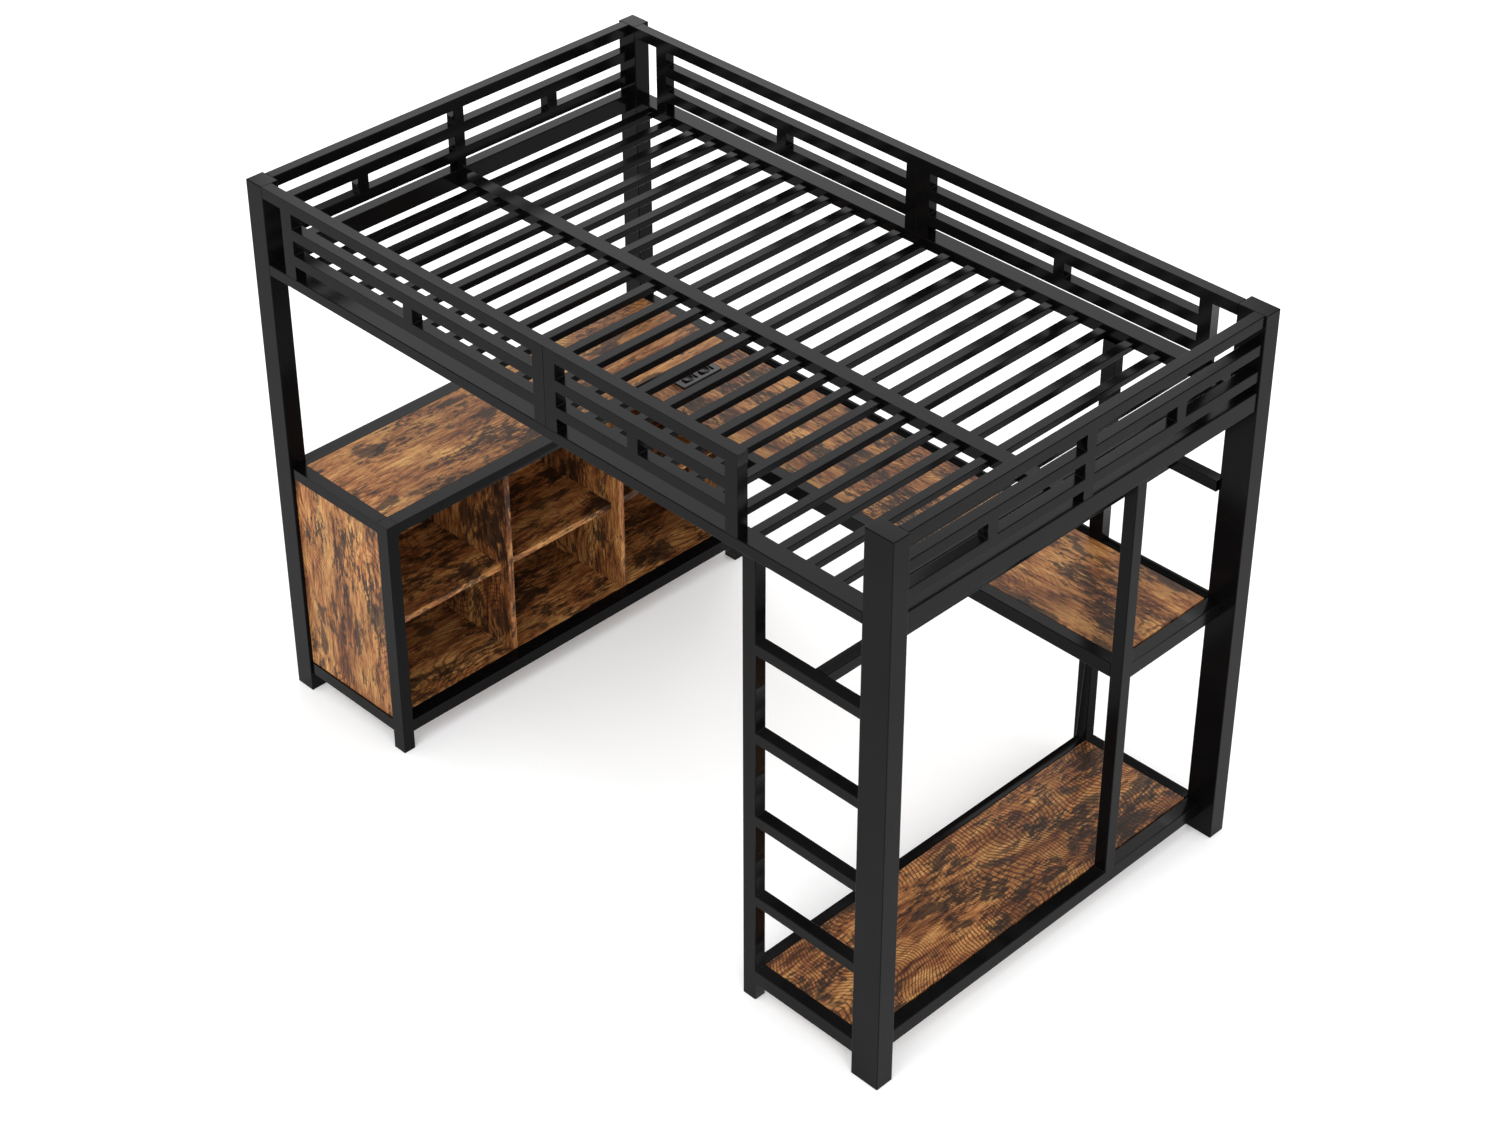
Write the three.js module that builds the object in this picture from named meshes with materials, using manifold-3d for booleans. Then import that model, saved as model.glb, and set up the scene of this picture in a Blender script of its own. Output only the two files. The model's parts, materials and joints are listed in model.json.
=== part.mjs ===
// Loft bed with a desk, an open cubby cabinet and a wardrobe bay below the bed deck.
// Millimetres, +Z up, X along the bed, Y across it. Origin at the centre of the footprint, on the floor.
import * as THREE from 'three';
import { mergeVertices } from 'three/addons/utils/BufferGeometryUtils.js';
import Module from 'manifold-3d';

const wasm = await Module();
wasm.setup();

// ---- Overall size -----------------------------------------------------------
const LENGTH = 2080;
const WIDTH = 1247;
const HEIGHT = 1500;

// ---- Fits and sheet thickness ----------------------------------------------
const GAP = 0.3; // clearance between pieces that are bolted face to face
const WALL = 1; // tube wall
const OVERRUN = 1; // how far a cavity is carried past an open tube end
const JOIN = 0.5; // how far a cavity reaches into the cavity of the tube it is welded to

// ---- Corner posts -----------------------------------------------------------
const POST_DEPTH = 50;
const POST_LEFT_WIDTH = 60;
const POST_RIGHT_WIDTH = 80;
const POST_CAP = 3; // plate that closes each end
const POST_BOLT_HOLE = 12; // square hole in the inner wall, behind the side rail's open end

// ---- Bed deck ---------------------------------------------------------------
const DECK_TOP = 1290;
const SIDE_RAIL_HEIGHT = 30;
const END_RAIL_BOTTOM = 1252;
const END_RAIL_TOP = 1302;
const END_RAIL_DEPTH = 34;
const END_RAIL_INSET = 4;
const BEAM_WIDTH = 40;
const SLAT_COUNT = 24;
const SLAT_FIRST = 101; // left edge of the first slat
const SLAT_PITCH = 80.3;
const SLAT_WIDTH = 26;
const SLAT_BOTTOM = 1263;
const SLAT_TOP = 1281;

// ---- Guard rails ------------------------------------------------------------
const GUARD_TUBE = 30;
const GUARD_RAIL_BOTTOMS = [1470, 1398.5, 1328.5]; // top rail first
const CONNECTOR_WIDTH = 32;
const END_GUARD_LEFT = [9, 39];
const END_GUARD_RIGHT = [2045, 2075];
const END_CONNECTOR_REACH = 323; // from the middle upright's centre line to a connector's outer side
const FRONT_SEAM = 1049; // where the two front guard panels meet
const BACK_SEAM = 1050;

// ---- Ladder bay and wardrobe bay --------------------------------------------
const BAY_LEFT = 1646; // left face of the ladder post
const BAY_POST_WIDTH = 40;
const BAY_FRONT = 12; // front face of the ladder post
const BAY_BACK = 1218; // back face of the inner back post
const BAY_POST_DEPTH = 32;
const BAY_INNER_RAIL_WIDTH = 30;
const BAY_RIGHT = [2003, 2037.7]; // the end frame between the two right posts
const RUNG_TOPS = [1031, 789, 554, 318];
const RUNG_HEIGHT = 30;
const FLOOR_RAIL = [49, 89]; // bottom and top of every rail near the floor
const HANGING_RAIL = [1832, 1867];
const MID_POST = [837, 871]; // front and back face of the post at the desk's corner

// ---- Desk and cabinet -------------------------------------------------------
const TOP = 700; // desk and cabinet surface
const BOARD = 18;
const PANEL = 16;
const DESK_RAIL_HEIGHT = 40;
const DESK_FRONT = 837;
const DESK_RAIL_DEPTH = 34;
const CABINET_RIGHT = 430;
const CABINET_POST_WIDTH = 40;
const CABINET_FRONT = 6;
const CABINET_BACK = 1222;
const CABINET_RAIL_DEPTH = 34;
const CABINET_RAIL_HEIGHT = 30;
const CABINET_LEFT_RAIL = [33, 74];
const CABINET_FLOOR_RAIL = [54, 89];
const REAR_PANEL = [62, 74];
const SHELF_BOTTOM = 332;
const SHELF_RECESS = 31; // shelf front behind the divider front

// ---- Desktop power outlet ---------------------------------------------------
const OUTLET_X = [436, 492];
const OUTLET_Y = [946, 1083];
const OUTLET_FLANGE = 7;
const OUTLET_DEPTH = 34;

// ---- Finishes ---------------------------------------------------------------
const finishes = {
  steel: { color: 0x2c2d2f, roughness: 0.3, metalness: 0.2 },
  wood: { color: 0xa9763f, roughness: 0.6, metalness: 0 },
  plastic: { color: 0x161617, roughness: 0.45, metalness: 0 },
};

// ---- Solid helpers ----------------------------------------------------------
const AXES = ['x', 'y', 'z'];

// A closed box from three [low, high] ranges.
function boxSolid(x, y, z) {
  const geometry = new THREE.BoxGeometry(x[1] - x[0], y[1] - y[0], z[1] - z[0]);
  geometry.translate((x[0] + x[1]) / 2, (y[0] + y[1]) / 2, (z[0] + z[1]) / 2);
  geometry.deleteAttribute('normal');
  geometry.deleteAttribute('uv');
  const merged = mergeVertices(geometry, 1e-4);
  return new wasm.Manifold(new wasm.Mesh({
    numProp: 3,
    vertProperties: new Float32Array(merged.attributes.position.array),
    triVerts: new Uint32Array(merged.index.array),
  }));
}

// One straight tube. Each end is 'open' (a cut end), 'join' (welded to another tube) or 'shut'.
function bar(axis, x, y, z, start = 'join', end = 'join') {
  return { axis, ranges: { x, y, z }, ends: [start, end] };
}

function cavityReach(end) {
  if (end === 'open') return OVERRUN;
  if (end === 'join') return WALL + JOIN;
  return -WALL;
}

function cavityRanges(tube) {
  const ranges = {};
  for (const axis of AXES) {
    const [low, high] = tube.ranges[axis];
    const along = axis === tube.axis;
    const lowReach = along ? cavityReach(tube.ends[0]) : -WALL;
    const highReach = along ? cavityReach(tube.ends[1]) : -WALL;
    ranges[axis] = [low - lowReach, high + highReach];
  }
  return ranges;
}

function unite(solids) {
  return solids.reduce((sum, solid) => sum.add(solid));
}

// Tubes welded into one hollow frame: all outsides joined, then all cavities taken out.
function weldedFrame(tubes, solidLugs = []) {
  const outside = tubes.map(({ ranges }) => boxSolid(ranges.x, ranges.y, ranges.z));
  const inside = tubes.map(cavityRanges).map(({ x, y, z }) => boxSolid(x, y, z));
  const lugs = solidLugs.map(([x, y, z]) => boxSolid(x, y, z));
  return unite([unite(outside).subtract(unite(inside)), ...lugs]);
}

// ---- Scene graph ------------------------------------------------------------
const bed = new THREE.Group();
bed.name = 'loft_bed_with_desk';

function addPiece(name, solid, finish) {
  const { vertProperties, triVerts } = solid.getMesh();
  const geometry = new THREE.BufferGeometry();
  geometry.setAttribute('position', new THREE.BufferAttribute(new Float32Array(vertProperties), 3));
  geometry.setIndex(new THREE.BufferAttribute(new Uint32Array(triVerts), 1));
  geometry.computeVertexNormals();
  const mesh = new THREE.Mesh(geometry, new THREE.MeshStandardMaterial(finishes[finish]));
  mesh.name = name;
  mesh.position.set(-LENGTH / 2, -WIDTH / 2, 0);
  bed.add(mesh);
}

// ---- Corner posts: tubes closed at both ends, with a bolt hole into the side rail -
const postLeft = [0, POST_LEFT_WIDTH];
const postRight = [LENGTH - POST_RIGHT_WIDTH, LENGTH];
const postFront = [0, POST_DEPTH];
const postBack = [WIDTH - POST_DEPTH, WIDTH];
const cornerPosts = {
  post_front_left: [postLeft, postFront],
  post_front_right: [postRight, postFront],
  post_back_left: [postLeft, postBack],
  post_back_right: [postRight, postBack],
};
for (const [name, [x, y]] of Object.entries(cornerPosts)) {
  const shell = boxSolid(x, y, [0, HEIGHT]);
  const hollow = boxSolid([x[0] + WALL, x[1] - WALL], [y[0] + WALL, y[1] - WALL], [POST_CAP, HEIGHT - POST_CAP]);
  const innerFace = x[0] === 0 ? x[1] : x[0];
  const middleY = (y[0] + y[1]) / 2;
  const middleZ = DECK_TOP - SIDE_RAIL_HEIGHT / 2;
  const boltHole = boxSolid(
    [innerFace - WALL - OVERRUN, innerFace + WALL + OVERRUN],
    [middleY - POST_BOLT_HOLE / 2, middleY + POST_BOLT_HOLE / 2],
    [middleZ - POST_BOLT_HOLE / 2, middleZ + POST_BOLT_HOLE / 2],
  );
  addPiece(name, shell.subtract(hollow).subtract(boltHole), 'steel');
}

// Clear spans between the posts.
const spanX = [postLeft[1] + GAP, postRight[0] - GAP];
const spanY = [postFront[1] + GAP, postBack[0] - GAP];

// ---- Bed deck: side rails, end rails, centre beam and slats ------------------
const deckZ = [DECK_TOP - SIDE_RAIL_HEIGHT, DECK_TOP];
addPiece('side_rail_front', weldedFrame([bar('x', spanX, postFront, deckZ, 'open', 'open')]), 'steel');
addPiece('side_rail_back', weldedFrame([bar('x', spanX, postBack, deckZ, 'open', 'open')]), 'steel');

const endRailZ = [END_RAIL_BOTTOM, END_RAIL_TOP];
const endRailLeft = [END_RAIL_INSET, END_RAIL_INSET + END_RAIL_DEPTH];
const endRailRight = [BAY_RIGHT[1] + GAP, LENGTH - END_RAIL_INSET];
addPiece('end_rail_left', weldedFrame([bar('y', endRailLeft, spanY, endRailZ, 'open', 'open')]), 'steel');
addPiece('end_rail_right', weldedFrame([bar('y', endRailRight, spanY, endRailZ, 'open', 'open')]), 'steel');

// The beam runs the length of the deck and has one window for each slat.
const slatZ = [SLAT_BOTTOM, SLAT_TOP];
const slatStarts = Array.from({ length: SLAT_COUNT }, (_, index) => SLAT_FIRST + index * SLAT_PITCH);
const beamY = [(WIDTH - BEAM_WIDTH) / 2, (WIDTH + BEAM_WIDTH) / 2];
const beamX = [endRailLeft[1] + GAP, endRailRight[0] - GAP];
const slatWindows = slatStarts.map((start) => boxSolid(
  [start - GAP, start + SLAT_WIDTH + GAP],
  [beamY[0] - OVERRUN, beamY[1] + OVERRUN],
  [SLAT_BOTTOM - GAP, SLAT_TOP + GAP],
));
const beam = weldedFrame([bar('x', beamX, beamY, deckZ, 'open', 'open')]);
addPiece('centre_beam', beam.subtract(unite(slatWindows)), 'steel');

slatStarts.forEach((start, index) => {
  const name = `slat_${String(index + 1).padStart(2, '0')}`;
  const slat = bar('y', [start, start + SLAT_WIDTH], spanY, slatZ, 'open', 'open');
  addPiece(name, weldedFrame([slat]), 'steel');
});

// ---- Guard rails -------------------------------------------------------------
const guardRailZ = GUARD_RAIL_BOTTOMS.map((bottom) => [bottom, bottom + GUARD_TUBE]);
const connectorZ = [guardRailZ[2][1], guardRailZ[1][0]];
const uprightZ = [DECK_TOP + GAP, guardRailZ[0][0]];

// A panel along the bed: the top rail runs its full length, the lower rails between its end uprights.
function sideGuard(x, y, uprights, connector) {
  const [first, last] = uprights;
  const tubes = [bar('x', x, y, guardRailZ[0], 'open', 'open')];
  for (const upright of uprights) {
    tubes.push(bar('z', upright, y, uprightZ, 'open', 'join'));
  }
  for (const z of guardRailZ.slice(1)) {
    tubes.push(bar('x', [first[1], last[0]], y, z));
  }
  tubes.push(bar('z', connector, y, connectorZ));
  return weldedFrame(tubes);
}

// A panel across the bed: all three rails run from post to post round one upright.
function endGuard(x, middle) {
  const upright = [middle - CONNECTOR_WIDTH / 2, middle + CONNECTOR_WIDTH / 2];
  const tubes = [bar('z', x, upright, [END_RAIL_TOP + GAP, guardRailZ[0][0]], 'open', 'join')];
  for (const z of guardRailZ) {
    tubes.push(bar('y', x, spanY, z, 'open', 'open'));
  }
  for (const start of [middle - END_CONNECTOR_REACH, middle + END_CONNECTOR_REACH - CONNECTOR_WIDTH]) {
    tubes.push(bar('z', x, [start, start + CONNECTOR_WIDTH], connectorZ));
  }
  return weldedFrame(tubes);
}

const frontGuardY = [0, GUARD_TUBE];
const backGuardY = [postBack[0], postBack[0] + GUARD_TUBE];
const sideGuards = {
  guard_front_left: [[spanX[0], FRONT_SEAM], frontGuardY, [[127, 166], [1012, FRONT_SEAM]], [568, 600]],
  guard_front_right: [[FRONT_SEAM + GAP, BAY_LEFT], frontGuardY,
    [[FRONT_SEAM + GAP, 1086], [1608, BAY_LEFT]], [1312, 1345]],
  guard_back_left: [[spanX[0], BACK_SEAM], backGuardY, [[139, 175], [1012, BACK_SEAM]], [575, 607]],
  guard_back_right: [[BACK_SEAM + GAP, spanX[1]], backGuardY,
    [[BACK_SEAM + GAP, 1088], [1897, 1933]], [1478, 1510]],
};
for (const [name, [x, y, uprights, connector]] of Object.entries(sideGuards)) {
  addPiece(name, sideGuard(x, y, uprights, connector), 'steel');
}
addPiece('guard_left', endGuard(END_GUARD_LEFT, 621), 'steel');
addPiece('guard_right', endGuard(END_GUARD_RIGHT, 615), 'steel');

// ---- Ladder: one post, four rungs and the bay's bottom front rail ------------
const bayPostX = [BAY_LEFT, BAY_LEFT + BAY_POST_WIDTH];
const bayInnerX = [bayPostX[1], spanX[1]];
const ladderY = [BAY_FRONT, BAY_FRONT + BAY_POST_DEPTH];
const underDeck = deckZ[0] - GAP;
const ladderTubes = [bar('z', bayPostX, ladderY, [0, underDeck], 'open', 'open')];
for (const top of RUNG_TOPS) {
  ladderTubes.push(bar('x', bayInnerX, ladderY, [top - RUNG_HEIGHT, top], 'join', 'open'));
}
ladderTubes.push(bar('x', bayInnerX, ladderY, FLOOR_RAIL, 'join', 'open'));
addPiece('ladder_frame', weldedFrame(ladderTubes), 'steel');

// ---- Wardrobe bay: base frame, upper back frame, end frame, hanging rail -----
const bayBackY = [BAY_BACK - BAY_POST_DEPTH, BAY_BACK];
const deskZ = [TOP - DESK_RAIL_HEIGHT, TOP];
const bayInnerRailX = [bayPostX[1] - BAY_INNER_RAIL_WIDTH, bayPostX[1]];
addPiece('bay_base_frame', weldedFrame([
  bar('z', bayPostX, bayBackY, [0, deskZ[0] - GAP], 'open', 'open'),
  bar('y', bayInnerRailX, [ladderY[1] + GAP, bayBackY[0]], FLOOR_RAIL, 'open', 'join'),
  bar('x', bayInnerX, bayBackY, FLOOR_RAIL, 'join', 'open'),
]), 'steel');

const hangingZ = [RUNG_TOPS[0] - RUNG_HEIGHT, RUNG_TOPS[0]];
addPiece('bay_upper_frame', weldedFrame([
  bar('z', bayPostX, bayBackY, [TOP + GAP, underDeck], 'open', 'open'),
  bar('x', bayInnerX, bayBackY, hangingZ, 'join', 'open'),
]), 'steel');

addPiece('end_frame', weldedFrame([
  bar('y', BAY_RIGHT, spanY, FLOOR_RAIL, 'open', 'open'),
  bar('z', BAY_RIGHT, MID_POST, [FLOOR_RAIL[1], DECK_TOP], 'join', 'shut'),
  bar('y', BAY_RIGHT, [MID_POST[1], spanY[1]], deskZ, 'join', 'open'),
]), 'steel');

const hangingY = [ladderY[1] + GAP, bayBackY[0] - GAP];
addPiece('hanging_rail', weldedFrame([bar('y', HANGING_RAIL, hangingY, hangingZ, 'open', 'open')]), 'steel');

const bayShelfZ = [FLOOR_RAIL[1] - BOARD, FLOOR_RAIL[1]];
addPiece('bay_floor_shelf', boxSolid(
  [bayPostX[1] + GAP, spanX[1]],
  [ladderY[1] + GAP, bayBackY[0] - GAP],
  bayShelfZ,
), 'wood');

// ---- Desk: two long rails, cross bars under the board, and the board ---------
const deskRailFront = [DESK_FRONT, DESK_FRONT + DESK_RAIL_DEPTH];
const deskRailBack = bayBackY;
const deskX = [CABINET_RIGHT + GAP, BAY_RIGHT[0] - GAP];
const crossZ = [deskZ[0], TOP - BOARD - GAP];
const crossY = [deskRailFront[1], deskRailBack[0]];
const deskTubes = [
  bar('x', deskX, deskRailFront, deskZ, 'open', 'open'),
  bar('x', [deskX[0], spanX[1]], deskRailBack, deskZ, 'open', 'open'),
];
for (const start of [740, 1210, 1700]) {
  deskTubes.push(bar('y', [start, start + 30], crossY, crossZ));
}
addPiece('desk_frame', weldedFrame(deskTubes), 'steel');

const boardZ = [TOP - BOARD, TOP];
const outletHole = [
  [OUTLET_X[0] + 6, OUTLET_X[1] - 6],
  [OUTLET_Y[0] + 6, OUTLET_Y[1] - 6],
];
const deskBoard = boxSolid(
  [CABINET_RIGHT + GAP, spanX[1]],
  [deskRailFront[1] + GAP, deskRailBack[0] - GAP],
  boardZ,
);
const outletCut = boxSolid(outletHole[0], outletHole[1], [boardZ[0] - OVERRUN, boardZ[1] + OVERRUN]);
addPiece('desk_top', deskBoard.subtract(outletCut), 'wood');

// The outlet: a low flange on the board, a housing down through it, and two socket recesses.
const outletTop = TOP + GAP + OUTLET_FLANGE;
const outletBody = unite([
  boxSolid(OUTLET_X, OUTLET_Y, [TOP + GAP, outletTop]),
  boxSolid(
    [outletHole[0][0] + GAP, outletHole[0][1] - GAP],
    [outletHole[1][0] + GAP, outletHole[1][1] - GAP],
    [outletTop - OUTLET_DEPTH, outletTop],
  ),
]);
const sockets = [0, 1].map((index) => {
  const start = OUTLET_Y[0] + 16 + index * 58;
  return boxSolid([OUTLET_X[0] + 11, OUTLET_X[1] - 11], [start, start + 46], [outletTop - 4, outletTop + 1]);
});
addPiece('power_outlet', outletBody.subtract(unite(sockets)), 'plastic');

// ---- Cabinet frame: two right-hand posts, and a ring of rails top and bottom --
const cabinetPostX = [CABINET_RIGHT - CABINET_POST_WIDTH, CABINET_RIGHT];
const cabinetFrontY = [CABINET_FRONT, CABINET_FRONT + CABINET_RAIL_DEPTH];
const cabinetBackY = [CABINET_BACK - CABINET_RAIL_DEPTH, CABINET_BACK];
const cabinetInnerY = [cabinetFrontY[1], cabinetBackY[0]];
const cabinetInnerX = [spanX[0], cabinetPostX[0]];
const cabinetTubes = [cabinetFrontY, cabinetBackY].map((y) => bar('z', cabinetPostX, y, [0, TOP], 'open', 'shut'));
const cabinetLugs = [];
for (const z of [[TOP - CABINET_RAIL_HEIGHT, TOP], CABINET_FLOOR_RAIL]) {
  cabinetTubes.push(bar('x', cabinetInnerX, cabinetFrontY, z, 'open', 'join'));
  cabinetTubes.push(bar('x', cabinetInnerX, cabinetBackY, z, 'open', 'join'));
  cabinetTubes.push(bar('y', cabinetPostX, cabinetInnerY, z));
  cabinetTubes.push(bar('y', CABINET_LEFT_RAIL, spanY, z, 'open', 'open'));
  cabinetLugs.push([[cabinetInnerX[0], CABINET_LEFT_RAIL[1]], [cabinetInnerY[0], spanY[0]], z]);
  cabinetLugs.push([[cabinetInnerX[0], CABINET_LEFT_RAIL[1]], [cabinetInnerY[1], cabinetBackY[0] + JOIN], z]);
}
addPiece('cabinet_frame', weldedFrame(cabinetTubes, cabinetLugs), 'steel');

// ---- Cabinet boards ------------------------------------------------------------
const cabinetBoardX = [CABINET_LEFT_RAIL[1] + GAP, cabinetPostX[0] - GAP];
const cabinetBoardY = [cabinetInnerY[0] + GAP, cabinetInnerY[1] - GAP];
addPiece('cabinet_top', boxSolid(cabinetBoardX, cabinetBoardY, boardZ), 'wood');
addPiece('cabinet_bottom', boxSolid(cabinetBoardX, cabinetBoardY, bayShelfZ), 'wood');

const panelZ = [FLOOR_RAIL[1] + GAP, TOP - CABINET_RAIL_HEIGHT - GAP];
const panelX = [cabinetInnerX[0], cabinetPostX[0] - GAP];
const sidePanelInset = 4;
const sidePanelFront = [CABINET_FRONT + sidePanelInset, CABINET_FRONT + sidePanelInset + PANEL];
const sidePanelBack = [CABINET_BACK - sidePanelInset - PANEL, CABINET_BACK - sidePanelInset];
addPiece('cabinet_side_panel_front', boxSolid(panelX, sidePanelFront, panelZ), 'wood');
addPiece('cabinet_side_panel_back', boxSolid(panelX, sidePanelBack, panelZ), 'wood');

const cubbyY = [sidePanelFront[1] + GAP, sidePanelBack[0] - GAP];
addPiece('cabinet_rear_panel', boxSolid(REAR_PANEL, cubbyY, panelZ), 'wood');

// Two dividers share the opening into three equal bays, each with one shelf.
const bayWidth = (cabinetInnerY[1] - cabinetInnerY[0] - 2 * PANEL) / 3;
const dividers = [1, 2].map((index) => {
  const start = cabinetInnerY[0] + index * bayWidth + (index - 1) * PANEL;
  return [start, start + PANEL];
});
dividers.forEach((y, index) => {
  addPiece(`cabinet_divider_${index + 1}`, boxSolid(cabinetBoardX, y, [panelZ[0], boardZ[0] - GAP]), 'wood');
});
const shelfSpans = [
  [cubbyY[0], dividers[0][0] - GAP],
  [dividers[0][1] + GAP, dividers[1][0] - GAP],
  [dividers[1][1] + GAP, cubbyY[1]],
];
const shelfX = [cabinetBoardX[0], cabinetBoardX[1] - SHELF_RECESS];
shelfSpans.forEach((y, index) => {
  addPiece(`cabinet_shelf_${index + 1}`, boxSolid(shelfX, y, [SHELF_BOTTOM, SHELF_BOTTOM + BOARD]), 'wood');
});

export default bed;
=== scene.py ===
"""Loft bed with desk: finished pieces, materials, floor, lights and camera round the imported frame."""

import json
import math

import bmesh
import bpy
from mathutils import Matrix, Vector
from mathutils.bvhtree import BVHTree


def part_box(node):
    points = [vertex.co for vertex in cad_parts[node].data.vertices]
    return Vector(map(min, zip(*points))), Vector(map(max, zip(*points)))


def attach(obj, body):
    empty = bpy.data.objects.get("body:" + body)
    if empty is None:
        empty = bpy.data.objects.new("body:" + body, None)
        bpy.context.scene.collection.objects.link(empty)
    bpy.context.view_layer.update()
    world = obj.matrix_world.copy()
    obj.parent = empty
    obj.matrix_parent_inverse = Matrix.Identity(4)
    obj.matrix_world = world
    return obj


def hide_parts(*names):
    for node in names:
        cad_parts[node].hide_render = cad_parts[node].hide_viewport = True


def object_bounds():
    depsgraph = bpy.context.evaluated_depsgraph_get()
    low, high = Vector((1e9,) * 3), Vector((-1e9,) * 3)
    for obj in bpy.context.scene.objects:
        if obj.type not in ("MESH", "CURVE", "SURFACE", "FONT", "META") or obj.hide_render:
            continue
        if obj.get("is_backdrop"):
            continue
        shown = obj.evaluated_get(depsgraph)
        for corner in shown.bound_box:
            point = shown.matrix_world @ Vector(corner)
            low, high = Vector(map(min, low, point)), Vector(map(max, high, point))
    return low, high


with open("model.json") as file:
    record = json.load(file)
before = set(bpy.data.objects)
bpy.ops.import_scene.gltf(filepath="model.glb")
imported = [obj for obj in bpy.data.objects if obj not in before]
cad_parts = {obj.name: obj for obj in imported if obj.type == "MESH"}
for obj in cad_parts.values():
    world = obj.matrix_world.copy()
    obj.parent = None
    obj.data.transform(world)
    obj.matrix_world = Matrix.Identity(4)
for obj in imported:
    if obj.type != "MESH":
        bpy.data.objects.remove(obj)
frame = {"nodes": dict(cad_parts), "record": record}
CAD_LOW, CAD_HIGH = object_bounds()

MM = 0.001
BODY = "root"

# ---- The record's nodes, by finish ------------------------------------------
SLOT_OF = {part["node"]: part["material_slot"] for part in frame["record"]["subparts"]}


# ---- Small node-tree helper ---------------------------------------------------
class Nodes:
    """Builds a material's node tree: each method adds one node and returns its output."""

    def __init__(self, name):
        self.material = bpy.data.materials.new(name)
        self.material.use_nodes = True
        self.tree = self.material.node_tree
        self.shader = self.tree.nodes["Principled BSDF"]
        self.coordinate = self.tree.nodes.new("ShaderNodeTexCoord").outputs["Object"]

    def set_input(self, socket, value):
        if isinstance(value, bpy.types.NodeSocket):
            self.tree.links.new(value, socket)
        else:
            socket.default_value = value

    def scaled(self, scale, offset=(0, 0, 0), source=None):
        node = self.tree.nodes.new("ShaderNodeMapping")
        self.set_input(node.inputs["Vector"], source or self.coordinate)
        node.inputs["Scale"].default_value = scale
        node.inputs["Location"].default_value = offset
        return node.outputs["Vector"]

    def noise(self, vector, scale, detail=4.0, roughness=0.55, distortion=0.0):
        node = self.tree.nodes.new("ShaderNodeTexNoise")
        self.set_input(node.inputs["Vector"], vector)
        node.inputs["Scale"].default_value = scale
        node.inputs["Detail"].default_value = detail
        node.inputs["Roughness"].default_value = roughness
        node.inputs["Distortion"].default_value = distortion
        return node.outputs["Fac"]

    def ramp(self, factor, stops):
        node = self.tree.nodes.new("ShaderNodeValToRGB")
        while len(node.color_ramp.elements) < len(stops):
            node.color_ramp.elements.new(0.5)
        for element, (position, colour) in zip(node.color_ramp.elements, stops):
            element.position = position
            element.color = colour
        self.set_input(node.inputs["Fac"], factor)
        return node.outputs["Color"]

    def grey_ramp(self, factor, stops):
        return self.ramp(factor, [(p, (v, v, v, 1)) for p, v in stops])

    def math(self, operation, a, b=0.0):
        node = self.tree.nodes.new("ShaderNodeMath")
        node.operation = operation
        self.set_input(node.inputs[0], a)
        self.set_input(node.inputs[1], b)
        return node.outputs[0]

    def mix(self, factor, a, b):
        node = self.tree.nodes.new("ShaderNodeMix")
        node.data_type = "RGBA"
        for index, value in ((0, factor), (6, a), (7, b)):  # the colour mix's own sockets
            self.set_input(node.inputs[index], value)
        return node.outputs[2]

    def stain(self, colour, mask, strength, hexcode):
        """Mixes a tone into colour where mask is high."""
        return self.mix(self.math("MULTIPLY", mask, strength), colour, rgb(hexcode))

    def split(self, vector):
        node = self.tree.nodes.new("ShaderNodeSeparateXYZ")
        self.set_input(node.inputs[0], vector)
        return node.outputs

    def bump(self, height, strength, distance):
        node = self.tree.nodes.new("ShaderNodeBump")
        self.set_input(node.inputs["Height"], height)
        node.inputs["Strength"].default_value = strength
        node.inputs["Distance"].default_value = distance
        return node.outputs["Normal"]

    def finish(self, colour, roughness, normal=None, **constants):
        self.set_input(self.shader.inputs["Base Color"], colour)
        self.set_input(self.shader.inputs["Roughness"], roughness)
        if normal is not None:
            self.set_input(self.shader.inputs["Normal"], normal)
        for name, value in constants.items():
            self.shader.inputs[name.replace("_", " ")].default_value = value
        return self.material


def rgb(hexcode):
    """sRGB hex to linear RGBA."""
    values = [int(hexcode[i:i + 2], 16) / 255 for i in (0, 2, 4)]
    return (*[v / 12.92 if v <= 0.04045 else ((v + 0.055) / 1.055) ** 2.4 for v in values], 1)


# ---- Materials -----------------------------------------------------------------
def powder_coat():
    """Smooth semi-gloss black powder coat: faint cloudiness, fine orange peel, a few tiny specks."""
    n = Nodes("powder_coated_steel")
    cloud = n.noise(n.coordinate, 5.0, 3.0)
    speck = n.noise(n.coordinate, 900.0, 1.0)
    base = n.ramp(cloud, [(0.3, rgb("070708")), (0.7, rgb("0b0b0c"))])
    dust = n.grey_ramp(speck, [(0.74, 0.0), (0.8, 1.0)])
    colour = n.stain(base, dust, 0.15, "3c3d40")
    smear = n.noise(n.scaled((1.0, 1.0, 0.6)), 14.0, 5.0, 0.6)
    roughness = n.math("ADD", n.math("MULTIPLY", smear, 0.08), 0.13)
    peel = n.noise(n.coordinate, 340.0, 2.0, 0.5)
    normal = n.bump(peel, 0.04, 0.0003)
    return n.finish(colour, roughness, normal, Metallic=0.0, IOR=1.5, Specular_IOR_Level=0.06)


def plastic(name, dark, light, roughness):
    """Moulded plastic with a fine spark-eroded texture."""
    n = Nodes(name)
    tone = n.noise(n.coordinate, 30.0, 2.0)
    colour = n.ramp(tone, [(0.35, rgb(dark)), (0.65, rgb(light))])
    grain = n.noise(n.coordinate, 2600.0, 2.0, 0.6)
    rough = n.math("ADD", n.math("MULTIPLY", grain, 0.12), roughness - 0.06)
    return n.finish(colour, rough, n.bump(grain, 0.25, 0.0002), IOR=1.46, Specular_IOR_Level=0.3)


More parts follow.
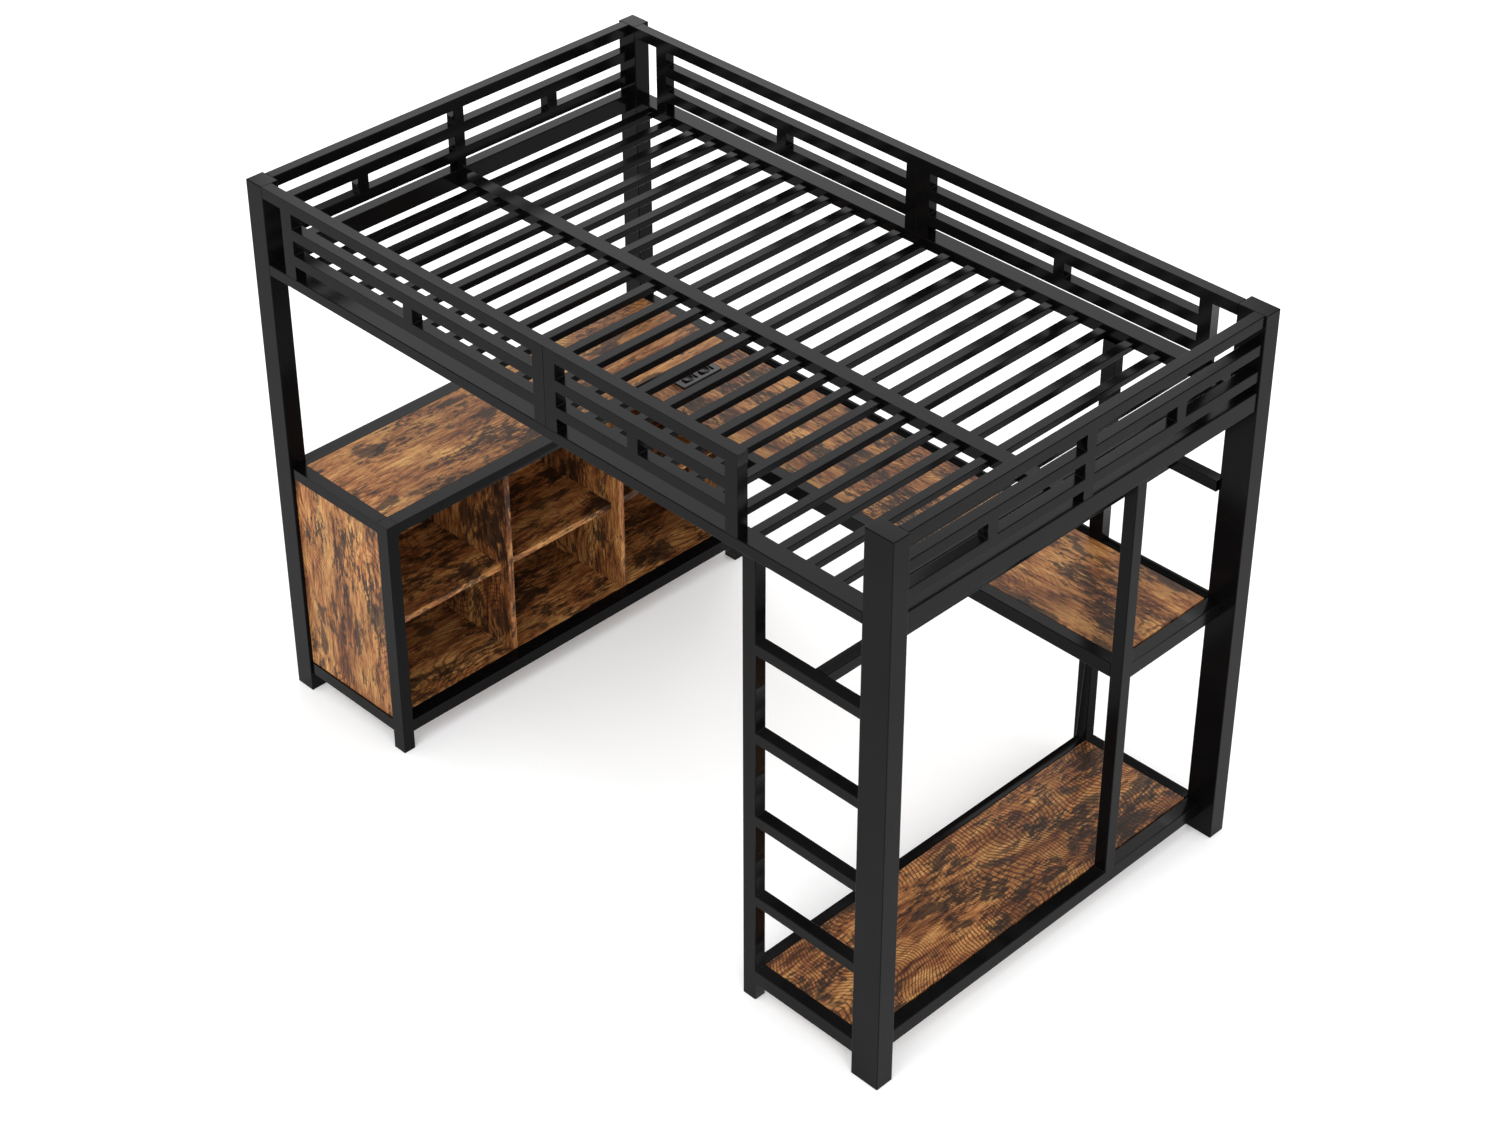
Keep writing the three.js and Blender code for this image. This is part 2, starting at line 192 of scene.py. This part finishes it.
# Dark to light tones of the print, each with the place on the tone ramp where it starts.
WOOD_TONES = (
    (0.43, "351c10"),
    (0.47, "5c341c"),
    (0.515, "905831"),
    (0.57, "b77f49"),
    (0.65, "d6a464"),
)
RING_BROWN = "3f1f12"
BURNT_BROWN = "472817"
PORE_BROWN = "3a2416"
BLOTCH_BROWN = "2a1e17"
SMUDGE_BLACK = "201712"
RINGS_PER_METRE = 105.0
RIPPLES_PER_METRE = 92.0


def rustic_wood(name, grain, across, shift, wavy):
    """Rustic brown laminate. The grain runs along one axis and the figure is drawn across another.
    Shift picks another part of the print, and wavy turns the arches into ripples across the grain."""
    n = Nodes(name)
    placed = n.scaled((1, 1, 1), shift)

    def stretched(factor, offset=(0, 0, 0)):
        return n.scaled([factor if axis == grain else 1.0 for axis in "XYZ"], offset, placed)

    along_grain = n.split(placed)["XYZ".index(grain)]
    over_grain = n.split(placed)["XYZ".index(across)]

    # Growth rings: thin dark lines that close into long arches, or run across the grain as ripples.
    drift = n.noise(stretched(0.5), 3.0, 2.0, 0.5)
    depth = n.noise(stretched(0.9, (5.0, 2.0, 8.0)), 2.2, 1.0, 0.5)
    wobble = n.noise(stretched(0.45, (1.0, 6.0, 3.0)), 26.0, 3.0, 0.6)
    if wavy:
        radius = n.math("ADD", along_grain, n.math("MULTIPLY", drift, 0.45))
        radius = n.math("ADD", radius, n.math("MULTIPLY", over_grain, 0.25))
        radius = n.math("ADD", radius, n.math("MULTIPLY", wobble, 0.018))
        rings = RIPPLES_PER_METRE
        line_stops = [(0.0, 1.0), (0.24, 0.9), (0.48, 0.0)]
        fade_stops = [(0.36, 0.2), (0.50, 1.0)]
    else:
        side = n.math("ADD", over_grain, n.math("MULTIPLY", n.math("SUBTRACT", drift, 0.5), 0.35))
        height = n.math("MULTIPLY", n.math("SUBTRACT", depth, 0.32), 0.75)
        squares = n.math("ADD", n.math("MULTIPLY", side, side), n.math("MULTIPLY", height, height))
        radius = n.math("SQRT", squares)
        radius = n.math("ADD", radius, n.math("MULTIPLY", wobble, 0.014))
        rings = RINGS_PER_METRE
        line_stops = [(0.0, 0.9), (0.16, 0.75), (0.38, 0.0)]
        fade_stops = [(0.49, 0.12), (0.60, 1.0)]
    ring = n.math("MULTIPLY", n.math("PINGPONG", n.math("MULTIPLY", radius, rings), 0.5), 2.0)
    ring_line = n.grey_ramp(ring, line_stops)
    fade = n.grey_ramp(n.noise(stretched(0.3, (7.0, 3.0, 1.0)), 9.0, 2.0, 0.5), fade_stops)
    ring_line = n.math("MULTIPLY", ring_line, fade)

    # Base tone: long golden and grey-brown streaks, with fine fibres.
    streak = n.noise(stretched(0.12), 100.0, 6.0, 0.68, 0.2)
    patch = n.noise(stretched(0.25, (2.0, 7.0, 4.0)), 17.0, 5.0, 0.62)
    fibre = n.noise(stretched(0.07, (4.0, 1.0, 9.0)), 480.0, 3.0, 0.7)
    tone = n.math("ADD", n.math("MULTIPLY", streak, 0.42), n.math("MULTIPLY", patch, 0.38))
    tone = n.math("ADD", tone, n.math("MULTIPLY", fibre, 0.28))
    colour = n.ramp(tone, [(place, rgb(hexcode)) for place, hexcode in WOOD_TONES])
    colour = n.stain(colour, ring_line, 0.88, RING_BROWN)

    # Darker regions where the board was burnt less evenly.
    burnt = n.noise(stretched(0.55, (8.0, 5.0, 7.0)), 6.0, 4.0, 0.6)
    burnt = n.grey_ramp(burnt, [(0.40, 0.0), (0.62, 1.0)])
    colour = n.stain(colour, burnt, 0.4, BURNT_BROWN)

    # Short dark pores along the grain.
    pore = n.noise(stretched(0.12, (3.0, 3.0, 3.0)), 300.0, 2.0, 0.5)
    pore = n.grey_ramp(pore, [(0.30, 1.0), (0.42, 0.0)])
    colour = n.stain(colour, pore, 0.55, PORE_BROWN)

    # Dark brown blotches, drawn out along the grain.
    blotch = n.noise(stretched(0.42, (1.0, 9.0, 6.0)), 17.0, 5.0, 0.62, 0.2)
    blotch = n.grey_ramp(blotch, [(0.55, 0.0), (0.60, 1.0)])
    colour = n.stain(colour, blotch, 0.8, BLOTCH_BROWN)

    # Burnt smudges and knots: in groups, with torn edges.
    group = n.noise(stretched(0.5, (9.0, 4.0, 2.0)), 11.0, 3.0, 0.55)
    torn = n.noise(stretched(0.28, (6.0, 8.0, 5.0)), 110.0, 6.0, 0.7, 0.2)
    smudge = n.math("ADD", n.math("MULTIPLY", group, 0.55), n.math("MULTIPLY", torn, 0.6))
    smudge = n.grey_ramp(smudge, [(0.605, 0.0), (0.63, 0.8), (0.67, 1.0)])
    colour = n.stain(colour, smudge, 0.9, SMUDGE_BLACK)

    relief = n.math("ADD", n.math("MULTIPLY", fibre, 0.6), n.math("MULTIPLY", ring_line, -0.5))
    normal = n.bump(relief, 0.3, 0.0005)
    roughness = n.math("ADD", n.math("MULTIPLY", streak, 0.16), 0.46)
    return n.finish(colour, roughness, normal, IOR=1.45, Specular_IOR_Level=0.22)


STEEL = powder_coat()
BLACK_PLASTIC = plastic("black_plastic", "0d0d0e", "141415", 0.45)
SOCKET_PLASTIC = plastic("socket_plastic", "101011", "18181a", 0.35)

# Grain axis, the axis across it, and where on the print each board is cut from.
BOARDS = {
    "desk_top": ("X", "Y", (0.0, -0.35, 0.0)),
    "cabinet_top": ("Y", "X", (0.95, 0.2, 0.7)),
    "cabinet_bottom": ("Y", "X", (1.1, 3.9, 0.1)),
    "cabinet_side_panel_front": ("Z", "X", (0.7, 0.4, 1.9)),
    "cabinet_side_panel_back": ("Z", "X", (0.9, 1.8, 5.3)),
    "cabinet_rear_panel": ("Y", "Z", (5.2, 2.3, -0.4)),
    "cabinet_divider_1": ("Z", "X", (0.8, 0.7, 2.5)),
    "cabinet_divider_2": ("Z", "X", (0.6, 1.2, 4.9)),
    "cabinet_shelf_1": ("Y", "X", (0.9, 6.1, 1.4)),
    "cabinet_shelf_2": ("Y", "X", (0.75, 8.6, 0.2)),
    "cabinet_shelf_3": ("Y", "X", (0.85, 1.5, 2.1)),
    "bay_floor_shelf": ("Y", "X", (1.6, 0.8, 0.5)),
}
RIPPLED = ("bay_floor_shelf",)


# ---- Mesh helpers ----------------------------------------------------------------
def add_object(name, mesh, material):
    piece = bpy.data.objects.new(name, mesh)
    bpy.context.scene.collection.objects.link(piece)
    mesh.materials.clear()
    mesh.materials.append(material)
    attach(piece, BODY)
    return piece


def box_bmesh(bm, low, high):
    """Adds a closed box to bm and returns its vertices."""
    size = Vector(high) - Vector(low)
    matrix = Matrix.Translation((Vector(low) + Vector(high)) / 2) @ Matrix.Diagonal((*size, 1))
    return bmesh.ops.create_cube(bm, size=1.0, matrix=matrix)["verts"]


def smooth_by_angle(mesh, degrees=50):
    mesh.polygons.foreach_set("use_smooth", [True] * len(mesh.polygons))
    mesh.set_sharp_from_angle(angle=math.radians(degrees))


TUBE_RADIUS = 2.2 * MM
SLAT_RADIUS = 1.8 * MM
BOARD_RADIUS = 0.8 * MM
OUTLET_RADIUS = 1.2 * MM
FACE_PROBE = 4 * MM  # a tube's outer face is at least this wide; the cut end of a tube wall isn't
CORNER_ANGLE = math.radians(60)  # the least turn between two faces that counts as a corner


def outer_corner_edges(bm, surface):
    """Convex edges between two wide faces: the tube's outer corners, without the rims of its open ends."""
    found = []
    for edge in bm.edges:
        if len(edge.link_faces) != 2 or not edge.is_convex or edge.calc_face_angle() < CORNER_ANGLE:
            continue
        middle = (edge.verts[0].co + edge.verts[1].co) / 2
        first, second = (face.normal for face in edge.link_faces)
        wide = True
        for normal, other in ((first, second), (second, first)):
            point = middle - other * FACE_PROBE
            _, hit_normal, _, gap = surface.find_nearest(point)
            if gap > 1e-5 or hit_normal.dot(normal) < 0.99:
                wide = False
        if wide:
            found.append(edge)
    return found


TUBE_INSIDE = 48 * MM  # wider than the inside of any welded tube
SHORTEST_WELD = 8 * MM
WELD_LEG = 2.0 * MM
WELD_STEP = 2.5 * MM


def weld_lines(bm, surface):
    """Concave edges where one tube meets another: (start, end, normal, normal)."""
    lines = []
    for edge in bm.edges:
        if len(edge.link_faces) != 2 or edge.is_convex or edge.calc_face_angle() < CORNER_ANGLE:
            continue
        if edge.calc_length() < SHORTEST_WELD:
            continue
        first, second = (face.normal.copy() for face in edge.link_faces)
        ends = [vert.co.copy() for vert in edge.verts]
        probe = (ends[0] + ends[1]) / 2 + (first + second) * MM / 2
        walls = [surface.ray_cast(probe, normal, TUBE_INSIDE)[0] for normal in (first, second)]
        if None in walls:  # inside a tube, both probes would hit a wall
            lines.append((*ends, first, second))
    return lines


def weld_beads(node, lines):
    """Small rippled fillets along the weld lines, as one piece."""
    bm = bmesh.new()
    for start, end, first, second in lines:
        along = (end - start).normalized()
        start, end = start + along * TUBE_RADIUS, end - along * TUBE_RADIUS
        steps = max(2, round((end - start).length / WELD_STEP))
        rings = []
        for step in range(2 * steps + 1):
            share = step / (2 * steps)
            leg = WELD_LEG * (0.35 if share in (0, 1) else (0.86, 1.0)[step % 2])
            centre = start.lerp(end, share)
            rings.append([bm.verts.new(centre + offset) for offset in (
                (first + second) * -0.15 * MM,
                second * leg,
                (first + second) * leg * 0.6,
                first * leg,
            )])
        for near, far in zip(rings, rings[1:]):
            for i in range(4):
                bm.faces.new((near[i], near[(i + 1) % 4], far[(i + 1) % 4], far[i]))
        bm.faces.new(rings[0])
        bm.faces.new(rings[-1])
    bmesh.ops.recalc_face_normals(bm, faces=bm.faces)
    mesh = bpy.data.meshes.new(f"{node}_welds")
    bm.to_mesh(mesh)
    bm.free()
    smooth_by_angle(mesh, 75)
    add_object(mesh.name, mesh, STEEL)


def finished_copy(node, radius, segments, material):
    """A copy of a CAD node with rounded outer corners, which stands for it."""
    bm = bmesh.new()
    bm.from_mesh(frame["nodes"][node].data)
    bmesh.ops.remove_doubles(bm, verts=bm.verts, dist=1e-5)
    bmesh.ops.dissolve_limit(bm, angle_limit=math.radians(1), verts=bm.verts, edges=bm.edges)
    bm.normal_update()
    surface = BVHTree.FromBMesh(bm)
    edges = outer_corner_edges(bm, surface)
    welds = weld_lines(bm, surface) if SLOT_OF[node] == "steel" else []
    if welds:
        weld_beads(node, welds)
    bmesh.ops.bevel(
        bm, geom=edges, offset=radius, segments=segments, profile=0.5,
        affect="EDGES", clamp_overlap=True, miter_outer="SHARP", miter_inner="SHARP",
    )
    mesh = bpy.data.meshes.new(f"{node}_finish")
    bm.to_mesh(mesh)
    bm.free()
    smooth_by_angle(mesh)
    piece = add_object(mesh.name, mesh, material)
    weighted = piece.modifiers.new("flat_faces_stay_flat", "WEIGHTED_NORMAL")
    weighted.keep_sharp = True
    weighted.weight = 100
    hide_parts(node)


# ---- Tubes and boards --------------------------------------------------------------

for node, slot in SLOT_OF.items():
    if slot == "steel":
        finished_copy(node, SLAT_RADIUS if node.startswith("slat") else TUBE_RADIUS, 3, STEEL)
    elif slot == "wood":
        grain, across, shift = BOARDS[node]
        wood = rustic_wood(f"rustic_wood_{node}", grain, across, shift, node in RIPPLED)
        finished_copy(node, BOARD_RADIUS, 2, wood)
    else:
        finished_copy(node, OUTLET_RADIUS, 3, SOCKET_PLASTIC)


# ---- Tube plugs ------------------------------------------------------------------
WALL = 1 * MM
PLUG_FIT = 0.2 * MM
PLUG_DEPTH = 14 * MM
LIP = 1.4 * MM
PLUG_HEAD = 4 * MM
FIN_COUNT = 3
FIN_START = 4.2 * MM
FIN_PITCH = 3.4 * MM
FIN_THICKNESS = 1.2 * MM
FIN_TAPER = 0.6 * MM
STEM_INSET = 1.5 * MM
STEM_BELOW = (1.8 * MM, 0.2 * MM)  # a stem section's bottom and top, measured down from its fin
GUARD_TUBE = 30 * MM


def rounded_box(bm, low, high, radius, segments=2):
    """Adds a closed box with all edges rounded to bm."""
    verts = box_bmesh(bm, low, high)
    edges = {edge for vert in verts for edge in vert.link_edges}
    bmesh.ops.bevel(bm, geom=list(edges), offset=radius, segments=segments, profile=0.5, affect="EDGES")


def piece_from(name, bm, material, degrees=50):
    mesh = bpy.data.meshes.new(name)
    bm.to_mesh(mesh)
    bm.free()
    smooth_by_angle(mesh, degrees)
    add_object(name, mesh, material)


def foot_plug(name, low, high):
    """A ribbed plug pressed into the open foot of a tube that spans low to high in X and Y."""
    bm = bmesh.new()
    inner_low = Vector((low[0] + WALL + PLUG_FIT, low[1] + WALL + PLUG_FIT))
    inner_high = Vector((high[0] - WALL - PLUG_FIT, high[1] - WALL - PLUG_FIT))
    rounded_box(bm, (*inner_low, 0), (*inner_high, PLUG_HEAD), 0.8 * MM)
    inset = Vector((1, 1)) * STEM_INSET
    for level in range(FIN_COUNT):
        bottom = FIN_START + FIN_PITCH * level
        taper = Vector((1, 1)) * FIN_TAPER * level
        rounded_box(bm, (*(inner_low + taper), bottom),
                    (*(inner_high - taper), bottom + FIN_THICKNESS), 0.3 * MM, 1)
        rounded_box(bm, (*(inner_low + inset), bottom - STEM_BELOW[0]),
                    (*(inner_high - inset), bottom - STEM_BELOW[1]), 0.2 * MM, 1)
    piece_from(name, bm, BLACK_PLASTIC)


LADDER_POST_WIDTH = 40 * MM
CABINET_POST = (40 * MM, 34 * MM)
BAY_POST_DEPTH = 32 * MM

ladder_low, ladder_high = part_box("ladder_frame")
foot_plug("ladder_foot_plug", ladder_low, (ladder_low.x + LADDER_POST_WIDTH, ladder_high.y))
bay_low, bay_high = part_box("bay_base_frame")
foot_plug("bay_foot_plug", (bay_low.x, bay_high.y - BAY_POST_DEPTH),
          (bay_low.x + LADDER_POST_WIDTH, bay_high.y))
cabinet_low, cabinet_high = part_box("cabinet_frame")
for side, y in (("front", cabinet_low.y), ("back", cabinet_high.y - CABINET_POST[1])):
    x = cabinet_high.x - CABINET_POST[0]
    foot_plug(f"cabinet_foot_plug_{side}", (x, y), (x + CABINET_POST[0], y + CABINET_POST[1]))


SEAM_HALF_WIDTH = 0.8 * MM
SEAM_RISE = 0.35 * MM
SEAM_DEPTH = 0.5 * MM
SEAM_RADIUS = 0.25 * MM


def corner_seams():
    """Flat-ground weld seams on the cabinet's top, along two sides of each right-hand post."""
    bm = bmesh.new()
    top = cabinet_high.z
    x = cabinet_high.x - CABINET_POST[0]
    for y, edge, inner in (
        (cabinet_low.y + CABINET_POST[1], cabinet_low.y + TUBE_RADIUS, 1),
        (cabinet_high.y - CABINET_POST[1], cabinet_high.y - TUBE_RADIUS, -1),
    ):
        near, far = sorted((edge, y + inner * SEAM_HALF_WIDTH))
        rounded_box(bm, (x - SEAM_HALF_WIDTH, near, top - SEAM_DEPTH),
                    (x + SEAM_HALF_WIDTH, far, top + SEAM_RISE), SEAM_RADIUS)
        rounded_box(bm, (x + SEAM_HALF_WIDTH, y - SEAM_HALF_WIDTH, top - SEAM_DEPTH),
                    (cabinet_high.x - TUBE_RADIUS, y + SEAM_HALF_WIDTH, top + SEAM_RISE), SEAM_RADIUS)
    piece_from("cabinet_corner_seams", bm, STEEL)


corner_seams()


def rail_end_plug():
    """The capped end of the front guard's top rail, beside the ladder."""
    low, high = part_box("guard_front_right")
    rail_low = Vector((high.x, low.y, high.z - GUARD_TUBE))
    bm = bmesh.new()
    rounded_box(bm, rail_low + Vector((0, 0.3 * MM, 0.3 * MM)),
                (high.x + LIP, high.y - 0.3 * MM, high.z - 0.3 * MM), 0.6 * MM, 3)
    inset = WALL + PLUG_FIT
    rounded_box(bm, (high.x - PLUG_DEPTH, low.y + inset, high.z - GUARD_TUBE + inset),
                (high.x + 0.2 * MM, high.y - inset, high.z - inset), 0.4 * MM, 1)
    piece_from("guard_end_plug", bm, BLACK_PLASTIC)


rail_end_plug()


# ---- Bolts and screws --------------------------------------------------------------
BOLT_RADIUS = 5.5 * MM
BOLT_HEIGHT = 2.8 * MM
SOCKET_RADIUS = 2.3 * MM
SOCKET_DEPTH = 1.6 * MM
ROUND_STEPS = 24


def lathe(bm, profile, place, axis, steps=ROUND_STEPS):
    """Adds a closed turned body to bm. The profile is (radius, height) pairs, on the axis at both ends."""
    turn = Vector((0, 0, 1)).rotation_difference(Vector(axis))
    rings = []
    for radius, height in profile:
        count = steps if radius > 0 else 1
        ring = []
        for step in range(count):
            angle = math.tau * step / steps
            point = Vector((radius * math.cos(angle), radius * math.sin(angle), height))
            ring.append(bm.verts.new(Vector(place) + turn @ point))
        rings.append(ring)
    for lower, upper in zip(rings, rings[1:]):
        for i in range(steps):
            a, b = lower[i % len(lower)], lower[(i + 1) % len(lower)]
            c, d = upper[(i + 1) % len(upper)], upper[i % len(upper)]
            corners = list(dict.fromkeys((a, b, c, d)))
            bm.faces.new(corners)


def bolt_heads(name, places, axis):
    """Round-headed bolts with a round socket, all pointing along one axis."""
    bm = bmesh.new()
    r, h = BOLT_RADIUS, BOLT_HEIGHT
    dome = [(0, 0), (r, 0), (r, 0.25 * h), (0.93 * r, 0.55 * h),
            (0.78 * r, 0.82 * h), (0.58 * r, 0.97 * h), (0.52 * r, h)]
    socket = [(SOCKET_RADIUS, h), (0.9 * SOCKET_RADIUS, h - SOCKET_DEPTH), (0, h - SOCKET_DEPTH)]
    for place in places:
        lathe(bm, dome + socket, place, axis)
    bmesh.ops.recalc_face_normals(bm, faces=bm.faces)
    piece_from(name, bm, STEEL, 40)


BOLT_LINE = -10 * MM  # Y from a side rail's middle to its row of bolts
END_BOLTS = (-0.56, 0, 0.56)  # Y from an end rail's middle
SCREWS_X = (-0.285, 0.185, 0.675)
SCREWS_Y = (0.33, 0.5)
GUARD_UPRIGHTS = {  # X of the bolts under each side rail, below the guards' uprights
    "side_rail_front": (-0.8935, -0.0095, 0.0280, 0.5870),
    "side_rail_back": (-0.8830, -0.0090, 0.0292, 0.8750),
}
for rail, places in GUARD_UPRIGHTS.items():
    low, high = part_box(rail)
    y = (low.y + high.y) / 2 + BOLT_LINE
    bolt_heads(f"{rail}_bolts", [(x, y, low.z) for x in places], (0, 0, -1))
for rail in ("end_rail_left", "end_rail_right"):
    low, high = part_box(rail)
    middle = (low + high) / 2
    bolt_heads(f"{rail}_bolts", [(middle.x, middle.y + step, low.z) for step in END_BOLTS], (0, 0, -1))

desk_low, desk_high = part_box("desk_frame")
screws = [(x, y, desk_low.z) for x in SCREWS_X for y in SCREWS_Y]
bolt_heads("desk_board_screws", screws, (0, 0, -1))


# ---- Sockets of the power outlet -----------------------------------------------------
RECESS_DEPTH = 4 * MM
RECESS_STARTS = (16, 74)  # mm from the outlet's front to each recess
RECESS_HALF = 23  # mm
COLLAR_RADIUS = 16 * MM
BOWL_RADIUS = 13.4 * MM
PIN_PLACES = ((0, -6.5), (0, 6.5), (5.0, 0))  # mm from the socket's centre


def outlet_sockets():
    """Two round sockets with a raised collar, set in the outlet's recesses. Each pin hole is a shallow dimple
    in darker plastic, painted shade for the depth of a real hole.
    """
    low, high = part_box("power_outlet")
    floor_z = high.z - RECESS_DEPTH
    bm = bmesh.new()
    pin_hole_shade = bmesh.new()
    collar, bowl = COLLAR_RADIUS, BOWL_RADIUS
    rim = [(0, 0), (2.3 * MM, 0), (2.3 * MM, 0.25 * MM), (1.9 * MM, 0.45 * MM),
           (1.7 * MM, 0.1 * MM), (0, 0.1 * MM)]
    for start in RECESS_STARTS:
        centre = Vector(((low.x + high.x) / 2, low.y + (start + RECESS_HALF) * MM, floor_z))
        lathe(bm, [
            (0, 0), (collar, 0), (collar, 5.4 * MM), (collar - 0.8 * MM, 6.2 * MM), (bowl + 0.6 * MM, 6.2 * MM),
            (bowl, 5.6 * MM), (bowl - 0.4 * MM, 1.6 * MM), (bowl - 1.2 * MM, 1.0 * MM), (0, 1.0 * MM),
        ], centre, (0, 0, 1), 40)
        # Pin holes: shallow discs of darker plastic, painted shade standing in for the dark inside of real
        # holes.
        for dx, dy in PIN_PLACES:
            spot = centre + Vector((dx, dy, 1.02)) * MM
            lathe(pin_hole_shade, rim, spot, (0, 0, 1), 20)
    for part in (bm, pin_hole_shade):
        bmesh.ops.recalc_face_normals(part, faces=part.faces)
    piece_from("power_outlet_sockets", bm, SOCKET_PLASTIC, 40)
    piece_from("power_outlet_pin_hole_painted_shade", pin_hole_shade, BLACK_PLASTIC, 40)


outlet_sockets()


# ---- Floor, lights and camera ---------------------------------------------------------
FLOOR_REACH = 40.0
FLOOR_HEIGHT = -0.5 * MM  # just under the feet
FLOOR_GLOW = 0.16


def pale_floor():
    mesh = bpy.data.meshes.new("floor")
    bm = bmesh.new()
    square = ((-1, -1), (1, -1), (1, 1), (-1, 1))
    corners = [bm.verts.new((x * FLOOR_REACH, y * FLOOR_REACH, FLOOR_HEIGHT)) for x, y in square]
    bm.faces.new(corners)
    bm.to_mesh(mesh)
    bm.free()
    n = Nodes("pale_floor")
    tone = n.noise(n.coordinate, 0.6, 2.0)
    colour = n.ramp(tone, [(0.3, rgb("f4f4f4")), (0.7, rgb("f8f8f8"))])
    n.shader.inputs["Emission Color"].default_value = (1, 1, 1, 1)
    mesh.materials.append(n.finish(colour, 0.9, None, IOR=1.3, Emission_Strength=FLOOR_GLOW))
    floor = bpy.data.objects.new("floor", mesh)
    bpy.context.scene.collection.objects.link(floor)
    floor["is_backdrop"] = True


def area_light(name, place, target, size, power):
    data = bpy.data.lights.new(name, "AREA")
    data.shape = "RECTANGLE"
    data.size, data.size_y = size
    data.energy = power
    light = bpy.data.objects.new(name, data)
    light.location = place
    light.rotation_euler = (Vector(target) - Vector(place)).to_track_quat("-Z", "Y").to_euler()
    bpy.context.scene.collection.objects.link(light)


CUBBIES = (-0.8, 0.0, 0.4)


def studio():
    world = bpy.data.worlds.new("studio")
    world.use_nodes = True
    background = world.node_tree.nodes["Background"]
    background.inputs["Color"].default_value = (1.0, 1.0, 1.0, 1)
    background.inputs["Strength"].default_value = 1.0
    bpy.context.scene.world = world
    middle = (CAD_LOW + CAD_HIGH) / 2
    area_light("back_softbox", (-4.2, 4.2, 4.6), middle, (4.5, 4.0), 110)
    area_light("front_softbox", (1.0, -5.0, 5.5), middle, (3.5, 3.5), 150)
    area_light("side_softbox", (5.5, 1.5, 4.0), middle, (3.0, 3.0), 60)
    area_light("low_softbox", (5.0, -2.4, 1.8), CUBBIES, (2.0, 1.6), 90)


CAMERA_PLACE = (4.2486, -4.2128, 4.9561)
CAMERA_AIM = (-0.0573, 0.0732, 0.8878)
CAMERA_LENS = 72.8
CAMERA_ROLL = math.radians(-0.07)
CAMERA_SHIFT_Y = -0.08


def camera():
    data = bpy.data.cameras.new("camera")
    data.sensor_width = 36
    data.lens = CAMERA_LENS
    data.shift_y = CAMERA_SHIFT_Y
    data.clip_start, data.clip_end = 0.1, 200
    eye = bpy.data.objects.new("camera", data)
    eye.location = CAMERA_PLACE
    look = (Vector(CAMERA_AIM) - Vector(CAMERA_PLACE)).to_track_quat("-Z", "Y")
    eye.rotation_mode = "QUATERNION"
    eye.rotation_quaternion = look @ Matrix.Rotation(CAMERA_ROLL, 3, "Z").to_quaternion()
    bpy.context.scene.collection.objects.link(eye)
    bpy.context.scene.camera = eye


pale_floor()
studio()
camera()
bpy.context.scene.view_settings.view_transform = "Standard"

bpy.context.view_layer.update()
low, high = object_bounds()
